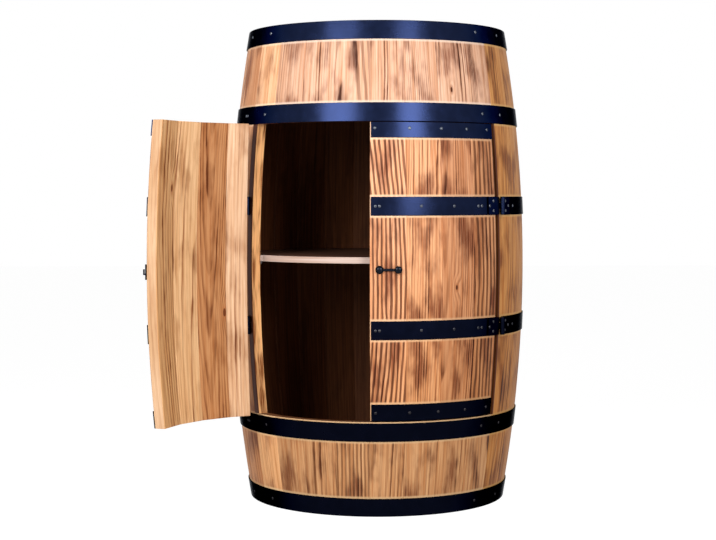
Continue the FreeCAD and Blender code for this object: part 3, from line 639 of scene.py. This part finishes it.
# The right door's edges take the dark stained pine as painted shade of the gaps.
DOOR_WOOD = {1: (flamed_door_pine, bare_pine, stained_pine, bare_pine),
             -1: (flamed_door_pine, bare_pine, sawn_pine, sawn_pine)}


def whole_staves():
    """The staves round the sides and back."""
    for index in range(1, WHOLE_STAVES + 1):
        growth = any_growth(index, YELLOW if index <= YELLOW_STAVES else None)
        wood = BARREL_WOOD
        if index == RIGHT_JAMB_STAVE:
            growth.sawn = (across(index, jamb(1)), 1.0, 0.005)
            wood = RIGHT_JAMB_WOOD
        piece = Piece(f"whole_stave_{index:02d}", wood)
        add_stave(piece, index)
        piece.make("barrel", "flamed_pine", f"stave_{index:02d}", growth=growth)


def left_jamb_board():
    """A whole stave with the doorway notched out of its edge."""
    edge = jamb(-1)
    growth = any_growth(207, (1.2, 1.35, 1.45))
    growth.sawn = (-1.0, across(LEFT_JAMB_STAVE, edge), 0.050)
    piece = Piece("left_jamb_board", LEFT_JAMB_WOOD)
    add_stave(piece, LEFT_JAMB_STAVE, end=edge)
    add_stave(piece, LEFT_JAMB_STAVE, high=SILL, start=edge)
    add_stave(piece, LEFT_JAMB_STAVE, low=HEADER, start=edge)
    piece.make("barrel", "flamed_pine", "left_jamb_stave", growth=growth)


def short_staves(name, low, high, seed, tone, bold, knots):
    """The ends of the staves that the doorway cuts through. bold holds the gap and the
    boldness of a board's rings, and knots a board's knot, both by the board's number."""
    for count in range(SHORT_STAVES):
        growth = any_growth(seed + count, tone)
        if count in bold:
            growth.gap, growth.bold = bold[count]
        if count in knots:
            growth.knot = knots[count]
            growth.heart, growth.lean = (growth.knot[0], 0.008), 0.03
        piece = Piece(f"{name}_board_{count + 1}", BARREL_WOOD)
        add_stave(piece, -count, low, high)
        piece.make("barrel", "flamed_pine", *([f"{name}_staves"] if count == 0 else ()), growth=growth)


DOOR_GROWTH = {
    "right_door": (
        Growth(seed=3.1, gap=0.0072, lean=0.22, heart=(-0.100, 0.004), bold=0.85,
               tone=(1.02, 1.0, 1.04)),
        Growth(seed=5.7, gap=0.0034, lean=0.03, heart=(0.045, 0.04), bold=-0.15, tone=browned(0.2)),
        Growth(seed=8.2, gap=0.0038, lean=-0.04, heart=(-0.03, 0.03), bold=-0.1,
               tone=(0.74, 0.68, 0.65), knot=(-0.0053, 0.372, 0.0020)),
        Growth(seed=2.6, gap=0.0092, lean=0.02, heart=(-0.09, 0.02), bold=0.8,
               tone=(0.70, 0.64, 0.58)),
    ),
    "left_door": (
        Growth(seed=31.4, gap=0.0062, lean=0.03, heart=(0.05, 0.04), tone=(0.98, 1.08, 1.05),
               knot=(-0.020, 0.532, 0.0030)),
        Growth(seed=35.8, gap=0.0060, lean=0.03, heart=(-0.03, 0.03), tone=(1.20, 1.42, 1.55)),
        Growth(seed=38.3, gap=0.0036, lean=-0.035, heart=(0.006, 0.012), bold=0.30,
               tone=(0.76, 0.68, 0.59), knot=(-0.0265, 0.33, 0.0034)),
        Growth(seed=33.9, gap=0.0060, lean=0.01, heart=(-0.07, 0.06), tone=(0.98, 1.22, 1.60)),
    ),
}
FIRST_DOOR_STAVE = {1: -3, -1: -4}      # the staves on either side of where the doors meet


def door_boards(door, side, place):
    """A door's staves, from where the doors meet to the jamb, the last one narrowed."""
    edges = [MEETING + side * HALF_GAP, *(MEETING + side * STAVE_ANGLE * count for count in (1, 2, 3)),
             jamb(side, -DOOR_GAP)]
    for count, growth in enumerate(DOOR_GROWTH[door]):
        index = FIRST_DOOR_STAVE[side] + side * count
        start, end = sorted(edges[count:count + 2])
        if count == 3:
            cut = across(index, edges[-1])
            growth.sawn = (cut, 1.0, 0.004) if side < 0 else (-1.0, cut, 0.004)
        piece = Piece(f"{door}_board_{count + 1}", DOOR_WOOD[side], place)
        add_stave(piece, index, DOOR_LOW, DOOR_HIGH, start, end)
        piece.make(door, "flamed_pine", f"{door}_stave_{count + 1}", growth=growth)


whole_staves()
left_jamb_board()
short_staves("header", HEADER, HEIGHT, 300, (0.89, 1.03, 1.30), bold={4: (0.0062, 0.5)},
             knots={1: (-0.004, 0.690, 0.0022)})
# The sill's tone darkens it: partly its own tone, partly painted shade towards the floor.
short_staves("sill", 0.0, SILL, 400, (0.82, 0.91, 0.98), knots={},
             bold={4: (0.0068, 0.6), 3: (0.0050, 0.25)})
for door, (side, place) in DOORS.items():
    door_boards(door, side, place)


# ----------------------------- hoops and straps

IRON_EDGE = 0.0005              # chamfer of the iron's edges
LAP = (175, 185)                # degrees, of a hoop's lap at the back
LAP_POINTS = 7
BEND_STEP = 1.8                 # degrees, between cross-sections


def bent(tree, section, radius, start, sweep, points, closed):
    """Sweeps a cross-section round the barrel's axis."""
    arc = tree.add("GeometryNodeCurveArc", {"mode": "RADIUS"}, {
        "Resolution": points, "Radius": radius, "Start Angle": start, "Sweep Angle": sweep})
    line = tree.add("GeometryNodeSetSplineCyclic", values={
        "Geometry": arc.outputs[0], "Cyclic": closed})
    upright = tree.add("GeometryNodeSetCurveNormal", {"mode": "Z_UP"}, {"Curve": line.outputs[0]})
    swept = tree.add("GeometryNodeCurveToMesh", values={
        "Curve": upright.outputs[0], "Profile Curve": section, "Fill Caps": True})
    return swept.outputs[0]


def leaned(tree, iron):
    """Leans upright iron in or out with its height, to lie along the bow."""
    place = tree.add("GeometryNodeInputPosition").outputs[0]
    flat = tree.add("ShaderNodeVectorMath", {"operation": "MULTIPLY"}, {0: place, 1: (1, 1, 0)})
    outward = tree.add("ShaderNodeVectorMath", {"operation": "NORMALIZE"}, {0: flat.outputs[0]})
    height = Value(tree, tree.add("ShaderNodeSeparateXYZ", values={0: place}).outputs["Z"])
    lean = tree.add("ShaderNodeVectorMath", {"operation": "SCALE"},
                    {0: outward.outputs[0], "Scale": height * tree.given["Slope"]})
    leaning = tree.add("GeometryNodeSetPosition", values={
        "Geometry": iron, "Offset": lean.outputs[0]})
    return leaning.outputs[0]


def hoop_tree():
    """Bends flat iron round the barrel's side, with a lap at the back if it has one."""
    tree = Grower("hoop_iron", Low="Float", Width="Float", Wall="Float", Radius="Float", Slope="Float",
                  Start="Float", Sweep="Float", Points="Int", Closed="Bool", Lapped="Bool")
    given = tree.given
    bar = tree.add("GeometryNodeCurvePrimitiveQuadrilateral", {"mode": "RECTANGLE"},
                   {"Width": given["Wall"], "Height": given["Width"]})
    section = tree.add("GeometryNodeFilletCurve", {"mode": "POLY"},
                       {"Curve": bar.outputs[0], "Count": 1, "Radius": IRON_EDGE}).outputs[0]
    hoop = bent(tree, section, given["Radius"], given["Start"], given["Sweep"], given["Points"],
                given["Closed"])
    lap = bent(tree, section, given["Radius"] + given["Wall"], math.radians(LAP[0] - 90),
               math.radians(LAP[1] - LAP[0]), LAP_POINTS, False)
    switch = tree.add("GeometryNodeSwitch", {"input_type": "GEOMETRY"},
                      {"Switch": given["Lapped"], "True": lap})
    both = tree.add("GeometryNodeJoinGeometry")
    for strip in (switch.outputs[0], hoop):
        tree.feed(both.inputs[0], strip)
    middle = tree.add("ShaderNodeCombineXYZ", values={2: given["Low"] + given["Width"] * 0.5})
    raised = tree.add("GeometryNodeTransform", values={
        "Geometry": leaned(tree, both.outputs[0]), "Translation": middle.outputs[0]})
    tree.end(raised.outputs[0])
    return tree


HOOP_TREE = hoop_tree()


def band(name, body, low, width, start, end, node, place=AS_DRAWN, lap=False):
    """A hoop, closed and lapped at the back, or a strap between two angles."""
    closed = end - start >= 360
    steps = max(2, round((end - start) / BEND_STEP))
    slope = (outside(low + width) - outside(low)) / width
    iron = HOOP_TREE.grow(
        name, bpy.data.meshes.new(name), place, Metal=black_iron, Lapped=lap, Closed=closed,
        Low=low, Width=width, Wall=BAND_WALL, Slope=slope, Points=steps if closed else steps + 1,
        Radius=outside(low) + slope * width / 2 + BAND_FIT + BAND_WALL / 2,
        Start=math.radians(start - 90),
        Sweep=math.radians(end - start) * ((steps - 1) / steps if closed else 1))
    hand_over(iron, body, [node], sharp=30)


HOOP_END = 1.9                  # degrees from the jamb
FREE_END = 0.35                 # degrees from the door's free edge
SHORT_STRAPS = ("top_strap", "bottom_strap")
SHORT_END, LONG_END = 2.1, DOOR_GAP + 0.35      # degrees from the jamb

for hoop, low in HOOPS.items():
    start, end = -180, 180
    if hoop in BILGE_HOOPS:
        start, end = jamb(1, HOOP_END), 360 + jamb(-1, HOOP_END)
    band(f"{hoop}_iron", "barrel", low, BAND_WIDTH, start, end, hoop, lap=True)

for door, (side, place) in DOORS.items():
    free = MEETING + side * (HALF_GAP + FREE_END)
    for strap, (low, width) in STRAPS.items():
        far = jamb(side, -SHORT_END if strap in SHORT_STRAPS else -LONG_END)
        start, end = sorted((free, far))
        band(f"{door}_{strap}_iron", door, low, width, start, end, f"{door}_{strap}", place)


# ---------------------------------------- latch

LATCH = JOINTS["latch_turn"]
LATCH_OUT = Vector(LATCH["axis"])
LATCH_ACROSS = Vector((0, 0, 1)).cross(LATCH_OUT)
EYE, EYE_HOLE = 0.006, 0.00255          # radii of the arm's eye
SHOULDER = 0.0025                       # radius that the eye turns on
WASHER, WASHER_TOP = 0.0067, 0.0012     # radius and height of the washer below it
ARM_LEVEL, ARM_TOP = 0.00135, 0.00335   # the arm's underside and top
HEAD_LEVEL, HEAD_TOP = 0.0035, 0.0065   # those of the pivot's head
REACH = 0.030                           # from the pivot to the knob
KNOB = 0.003                            # height of the knob's dome
BAR_ENDS = (0.0045, REACH - 0.004)      # within the eye and the knob
HALF_BAR = 0.0021                       # half of the bar's width
SOFT = 0.0003                           # rounding of the latch's edges
ROUND = 32                              # flats round a turned piece


def latch_place(beside=0.0):
    """Takes what is drawn flat, with +Z outwards, to the latch or a place beside it."""
    turn = Matrix((LATCH_ACROSS, Vector((0, 0, 1)), LATCH_OUT)).transposed().to_4x4()
    return Matrix.Translation(Vector(LATCH["pos_m"]) + LATCH_ACROSS * beside) @ turn


def turned(piece, profile, place, closed=True):
    """Turns radii and heights about the place's own axis; one that isn't closed has a
    hole down its middle."""
    def point(angle, radius, height):
        return place @ Vector((radius * math.cos(angle), radius * math.sin(angle), height))

    angles = [math.tau * step / ROUND for step in range(ROUND)]
    if closed:
        rows = [[point(angle, *level) for angle in angles] for level in profile]
    else:
        rows = [[point(angle, *level) for level in profile] for angle in angles]
    piece.skin(rows, [0] * len(rows[0]), ring=not closed)


def dome(radius, foot, top):
    """The profile of a domed head."""
    turns = [math.radians(angle) for angle in (0, 12, 25, 38, 51, 64, 76, 86)]
    return [(radius * math.cos(turn), foot + (top - foot) * math.sin(turn)) for turn in turns]


def latch_pivot():
    """A washer, the shoulder that the arm turns on and a domed head."""
    washer = [(WASHER - SOFT, 0.0), (WASHER, SOFT), (WASHER, WASHER_TOP - SOFT),
              (WASHER - SOFT, WASHER_TOP)]
    shoulder = [(SHOULDER, WASHER_TOP), (SHOULDER, HEAD_LEVEL)]
    head = [(EYE - 2 * SOFT, HEAD_LEVEL), *dome(EYE - SOFT, HEAD_LEVEL + SOFT, HEAD_TOP)]
    pivot = Piece("latch_pivot_head", (worn_iron,))
    turned(pivot, washer + shoulder + head, latch_place())
    pivot.make("right_door", "black_iron", "latch_pivot")


def latch_arm():
    """An eye with a hole, a knob and the bar between them."""
    rim = [(EYE - SOFT, ARM_LEVEL), (EYE, ARM_LEVEL + SOFT), (EYE, ARM_TOP - SOFT)]
    eye = [(EYE_HOLE, ARM_LEVEL), *rim, (EYE - SOFT, ARM_TOP), (EYE_HOLE, ARM_TOP)]
    arm = Piece("latch_arm_bar", (worn_iron,))
    turned(arm, eye, latch_place(), closed=False)
    turned(arm, rim + dome(EYE, ARM_TOP, ARM_TOP + KNOB), latch_place(REACH))
    under = [(HALF_BAR - SOFT, ARM_LEVEL), (HALF_BAR, ARM_LEVEL + SOFT)]
    upper = [(HALF_BAR, ARM_TOP - 2 * SOFT), (HALF_BAR - 2 * SOFT, ARM_TOP)]
    half = under + upper
    section = half + [(-up, out) for up, out in half[::-1]]
    arm.skin([[latch_place() @ Vector((end, up, out)) for up, out in section] for end in BAR_ENDS],
             [0] * len(section))
    arm.make("latch_arm", "black_iron", "latch_arm")


latch_pivot()
latch_arm()


# ----------------------- materials of the frame

HEAD_BOARD = 0.08384                    # width of a head's board
HEAD_OUTSIDE = (0.001, 0.004)           # from the middle of a head, where its outside begins
SHELF_EDGE = (0.2284, 0.2287)           # radii between which the shelf's front edge begins


def give(node, material):
    """Gives a node of the frame its material."""
    mesh = frame["nodes"][node].data
    mesh.materials.clear()
    mesh.materials.append(material)


def shelf_board():
    """Dark stained on top, with a bare front edge."""
    finish = Finish("shelf_board")
    x, y, z = finish.place()
    radius = (x * x + y * y).root()
    front = radius.ramp(*SHELF_EDGE) * y.ramp(-0.10, -0.11)
    grain = finish.noise(x * 14, y * 260, z * 260, detail=3)
    layers = finish.noise(x * 6, 0.0, z * 900, detail=1)
    stain = finish.mix(grain.ramp(0.3, 0.7), colour(88, 50, 30), colour(54, 29, 18))
    bare = finish.mix(layers.ramp(0.35, 0.65), colour(196, 176, 166), colour(172, 144, 128))
    return finish.set(Base_Color=finish.mix(front, stain, bare), Roughness=0.5,
                      Normal=finish.bump(grain, strength=0.15, distance=0.0005))


def head_boards(name, way_out):
    """Boards of a head, flamed on the outside of the barrel and stained inside. way_out
    is 1 for a head whose outside is up, and -1 for one whose outside is down."""
    finish = Finish(name)
    x, y, z = finish.place()
    board = (x / HEAD_BOARD + 10.5).whole()         # the middle one is number 10
    offset = board * 7.31
    grain = finish.noise(x * 16 + offset, y * 1.4 + offset, z * 16, detail=3)
    rings = ((x - 0.01) * 170 + grain * 11 + offset).part()
    line = rings.ramp(0.25, 0.75) * rings.ramp(0.88, 1.0, 1.0, 0.0)
    burnt_line = line * grain.ramp(0.4, 0.65, 0.12, 0.9)
    flamed = finish.mix(burnt_line, colour(240, 190, 142), colour(132, 76, 40))
    stain = finish.mix(line, colour(88, 50, 30), colour(50, 27, 17))
    low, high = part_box(name)
    out = ((z - (low.z + high.z) / 2) * way_out).ramp(*HEAD_OUTSIDE)
    return finish.set(Base_Color=finish.mix(out, stain, flamed), Roughness=0.55,
                      Normal=finish.bump(line + grain, strength=0.2, distance=0.0005))


give("shelf", shelf_board())
give("shelf_pins", zinc)
give("top_head", head_boards("top_head", 1))
give("bottom_head", head_boards("bottom_head", -1))
for node in ("right_jamb_hinge_leaves", "left_jamb_hinge_leaves", "right_door_hinge_leaves",
             "left_door_hinge_leaves", "hinge_pins", "latch_keeper"):
    give(node, black_iron)


# --------------------------------------- screws

SCREW_RADIUS, SCREW_HEIGHT = 0.0026, 0.0013
RECESS = (0.0026, 0.0006, 0.0009)       # length, width and height of a bar of the cross
RECESS_LEVEL = SCREW_HEIGHT - 0.00005   # of the bars' middle


def screw_tree():
    """Sets a dome-headed screw with a cross recess on every point, its top along the
    point's own direction."""
    tree = Grower("screws", Radius="Float", Height="Float")
    given = tree.given
    ball = tree.add("GeometryNodeMeshUVSphere", values={
        "Segments": 14, "Rings": 8, "Radius": given["Radius"]})
    flat = tree.add("ShaderNodeCombineXYZ", values={
        0: 1.0, 1: 1.0, 2: given["Height"] / given["Radius"]})
    head = tree.add("GeometryNodeTransform", values={
        "Geometry": ball.outputs["Mesh"], "Scale": flat.outputs[0]})
    cut = tree.add("GeometryNodeMeshBoolean", {"operation": "DIFFERENCE", "solver": "EXACT"},
                   {"Mesh 1": head.outputs[0]})
    length, width, height = RECESS
    for size in ((length, width, height), (width, length, height)):
        bar = tree.add("GeometryNodeMeshCube", values={"Size": size})
        raised = tree.add("GeometryNodeTransform", values={
            "Geometry": bar.outputs["Mesh"], "Translation": (0, 0, RECESS_LEVEL)})
        tree.feed(cut.inputs["Mesh 2"], raised.outputs[0])
    facing = tree.add("GeometryNodeInputNamedAttribute", {"data_type": "FLOAT_VECTOR"}, {"Name": "facing"})
    turn = tree.add("FunctionNodeAlignRotationToVector", {"axis": "Z"}, {"Vector": facing.outputs[0]})
    placed = tree.add("GeometryNodeInstanceOnPoints", values={
        "Points": given["Seats"], "Instance": cut.outputs["Mesh"], "Rotation": turn.outputs[0]})
    tree.end(placed.outputs[0])
    return tree


SCREW_TREE = screw_tree()
ON_BAND = BAND_FIT + BAND_WALL          # how far from the wood a screw in a band sits
ON_LEAF = ON_BAND + 0.00185             # and one in a hinge leaf
LEAF_RISE = 0.008                       # of the outer screws in a hinge leaf
BILGE_SEATS = [HOOPS[hoop] + BAND_WIDTH / 2 for hoop in BILGE_HOOPS]
BACK_SEATS = (118, 174, 180, 186, 242)  # angles of screws in every hoop, three at its lap


def seat(angle, height, out=ON_BAND):
    """Where a screw sits on the iron, and which way it faces."""
    near = 0.01
    slope = (outside(height + near) - outside(height - near)) / (2 * near)
    facing = around(angle, 1.0, 0.0) + Vector((0, 0, -slope))
    return around(angle, outside(height) + out, height), facing.normalized()


def leaf_seats(side, height, near, far):
    """Three screws in a hinge leaf: one at the middle of its height, and a pair."""
    return [seat(jamb(side, near), height + LEAF_RISE, ON_LEAF),
            seat(jamb(side, near), height - LEAF_RISE, ON_LEAF), seat(jamb(side, far), height, ON_LEAF)]


def hoop_seats():
    """Screws through the hoops and the jambs' hinge leaves."""
    places = []
    for height in (0.787, 0.0145):      # in the chime hoops
        places += [seat(angle, height) for angle in (-70.9, -52.6, 45.3, 62.8, *BACK_SEATS)]
    for height in (0.653, 0.141):       # in the quarter hoops
        places += [seat(angle, height) for angle in (-65.8, -64.2, -50.7, 44.4, 56.4, *BACK_SEATS)]
    for height in BILGE_SEATS:
        for side in (1, -1):
            places += [*leaf_seats(side, height, 4.0, 6.2), seat(jamb(side, 11.1), height)]
        places += [seat(angle, height) for angle in BACK_SEATS]
    return places


def strap_seats(side):
    """Screws through a door's straps and its hinge leaves. The places across are shares
    of the way from the doors' meeting line to the ends of the short straps."""
    reach = jamb(side, -SHORT_END) - MEETING
    shares = {0.627: (0.040, 0.286, 0.525, 0.739, 0.943), 0.172: (0.044, 0.287, 0.503, 0.728, 0.943)}
    shares.update({height: (0.044, 0.072, 0.360, 0.606) for height in BILGE_SEATS})
    places = [seat(MEETING + reach * share, height) for height in shares for share in shares[height]]
    for height in BILGE_SEATS:
        places += [seat(jamb(side, further), height) for further in (-11.9, -10.1)]
        places += leaf_seats(side, height, -4.0, -6.2)
    return places


def screws(name, body, seats, place=AS_DRAWN):
    """One mesh of all the screws on a body."""
    mesh = bpy.data.meshes.new(name)
    mesh.from_pydata([point for point, _ in seats], [], [])
    layer = mesh.attributes.new("facing", "FLOAT_VECTOR", "POINT")
    layer.data.foreach_set("vector", [part for _, facing in seats for part in facing])
    heads = SCREW_TREE.grow(name, mesh, place, Radius=SCREW_RADIUS, Height=SCREW_HEIGHT,
                            Metal=rubbed_iron)
    hand_over(heads, body, [], sharp=50)


screws("barrel_screws", "barrel", hoop_seats())
for door, (side, place) in DOORS.items():
    screws(f"{door}_screws", door, strap_seats(side), place)


# ---------------------- camera, floor and light

WHITE = (1.0, 1.0, 1.0, 1.0)
DAYLIGHT = 0.26                         # strength of the surroundings' light on the cabinet
FLOOR_SHARE = 0.72                      # of what is seen of the floor that is glow
FLOOR_GLOW = 1.27                       # strength of that glow
FLOOR_REACH = 9.0


def studio_camera():
    camera = bpy.data.cameras.new("camera")
    camera.sensor_width, camera.lens = 36.0, 78.80      # millimetres
    camera.clip_end = 50
    eye = into_scene("camera", camera)
    eye.location = (-0.05357, -2.7365, 0.51827)
    pitch, yaw, roll = (math.radians(angle) for angle in (-2.682, -0.433, 0.065))
    turn = Matrix.Rotation(yaw, 3, "Z") @ Matrix.Rotation(pitch, 3, "X") @ Matrix.Rotation(roll, 3, "Y")
    eye.rotation_euler = (turn @ Matrix.Rotation(math.radians(90), 3, "X")).to_euler()
    bpy.context.scene.camera = eye


def seen_share(nodes):
    """1 where the camera, or a reflection, sees the background itself."""
    rays = nodes.add("ShaderNodeLightPath").outputs
    seen = [Value(nodes, rays[f"Is {kind} Ray"]) for kind in ("Camera", "Glossy", "Transmission")]
    return reduce(Value.most, seen)


def studio_floor():
    finish = Finish("studio_floor")
    finish.set(Base_Color=(0.86, 0.86, 0.86, 1.0), Roughness=0.9, Specular_IOR_Level=0.1)
    glow = finish.add("ShaderNodeEmission", values={"Color": WHITE, "Strength": FLOOR_GLOW})
    blend = finish.add("ShaderNodeMixShader", values={
        0: seen_share(finish) * FLOOR_SHARE, 1: finish.surface.outputs[0], 2: glow.outputs[0]})
    finish.feed(finish.tree.nodes["Material Output"].inputs["Surface"], blend.outputs[0])
    mesh = bpy.data.meshes.new("studio_floor")
    corners = [(x * FLOOR_REACH, y * FLOOR_REACH, 0) for x, y in ((-1, -1), (1, -1), (1, 1), (-1, 1))]
    mesh.from_pydata(corners, [], [(0, 1, 2, 3)])
    mesh.materials.append(finish.material)
    floor = into_scene("studio_floor", mesh)


def studio_world():
    world = bpy.data.worlds.new("studio")
    bpy.context.scene.world = world
    world.use_nodes = True
    nodes = Nodes(world.node_tree)
    ground = world.node_tree.nodes["Background"]
    nodes.feed(ground.inputs["Color"], WHITE)
    nodes.feed(ground.inputs["Strength"], seen_share(nodes) * (1 - DAYLIGHT) + DAYLIGHT)


def softbox(name, azimuth, width, power):
    """A rectangular lamp that faces the middle of the cabinet, at an angle from the
    front towards +X."""
    elevation, distance, height = math.radians(19), 2.1, 0.9
    lamp = bpy.data.lights.new(name, "AREA")
    lamp.shape = "RECTANGLE"
    lamp.size, lamp.size_y, lamp.energy = width, height, power
    way = around(azimuth, math.cos(elevation), math.sin(elevation))
    box = into_scene(name, lamp)
    box.location = Vector((0, 0, HEIGHT / 2)) + way * distance
    box.rotation_euler = way.to_track_quat("Z", "Y").to_euler()


bpy.context.scene.view_settings.view_transform = "Standard"
studio_camera()
studio_floor()
studio_world()
softbox("left_softbox", azimuth=-30, width=0.9, power=30)
softbox("right_softbox", azimuth=25, width=0.6, power=24)
